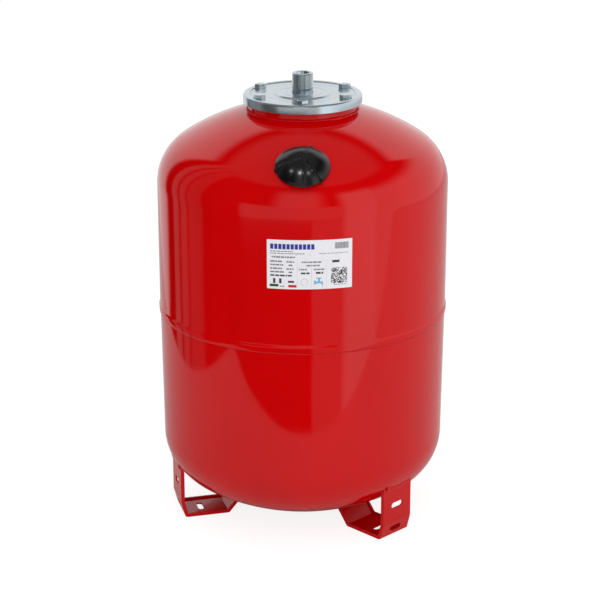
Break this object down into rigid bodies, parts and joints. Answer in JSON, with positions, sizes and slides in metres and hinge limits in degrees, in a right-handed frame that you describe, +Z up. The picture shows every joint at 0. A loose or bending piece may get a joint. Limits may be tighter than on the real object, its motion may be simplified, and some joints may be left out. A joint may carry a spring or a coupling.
{
  "type": "expansion vessel",
  "caption": "Upright steel expansion vessel on strip feet, with bolted counter-flange, threaded water connection, inner bladder and capped air valve.",
  "frame": {"origin": "on the floor, under the vessel's axis", "axes": "+Z up along the vessel's axis, towards the water connection; -Y is the front, with the label and the air valve's cover"},
  "size_m": [0.4535, 0.4536, 0.7078],
  "materials": {
    "red_paint": "gloss red powder coat",
    "zinc_steel": "bright zinc plate, passivated",
    "black_rubber": "matt moulded EPDM",
    "valve_brass": "turned",
    "spring_steel": "drawn wire",
    "cap_plastic": "moulded",
    "cover_plastic": "moulded, glossy",
    "label_film": "printed film"
  },
  "bodies": {
    "vessel": {"upper_shell": "red_paint", "lower_shell": "red_paint", "girth_weld": "red_paint", "neck_ring": "red_paint", "neck_weld": "red_paint", "bladder": "black_rubber", "counter_flange": "zinc_steel", "flange_bolts": "zinc_steel", "water_nipple": "zinc_steel", "nipple_weld": "zinc_steel", "valve_boss": "red_paint", "boss_weld": "red_paint", "valve_gasket": "black_rubber", "valve_stem": "valve_brass", "valve_core": "valve_brass", "valve_spring": "spring_steel", "front_left_foot": "red_paint", "front_right_foot": "red_paint", "rear_foot": "red_paint", "front_left_foot_weld": "red_paint", "front_right_foot_weld": "red_paint", "rear_foot_weld": "red_paint", "rating_label": "label_film"},
    "valve_pin": {"valve_pin": "spring_steel", "valve_seal": "black_rubber"},
    "valve_dust_cap": {"valve_dust_cap": "cap_plastic"},
    "valve_cover": {"valve_cover": "cover_plastic"}
  },
  "joints": [
    {"name": "cover_pull", "type": "slide", "parent": "vessel", "child": "valve_cover", "axis": [0, -0.5344, 0.8453], "range_m": [0, 0.06]},
    {"name": "dust_cap_turn", "type": "hinge", "parent": "vessel", "child": "valve_dust_cap", "pos_m": [0, -0.18435, 0.60927], "axis": [0, -0.5344, 0.8453], "continuous": true},
    {"name": "pin_press", "type": "slide", "parent": "vessel", "child": "valve_pin", "axis": [0, 0.5344, -0.8453], "range_m": [0, 0.0015], "stiffness_N_per_m": 1500, "springref_m": -0.001}
  ]
}
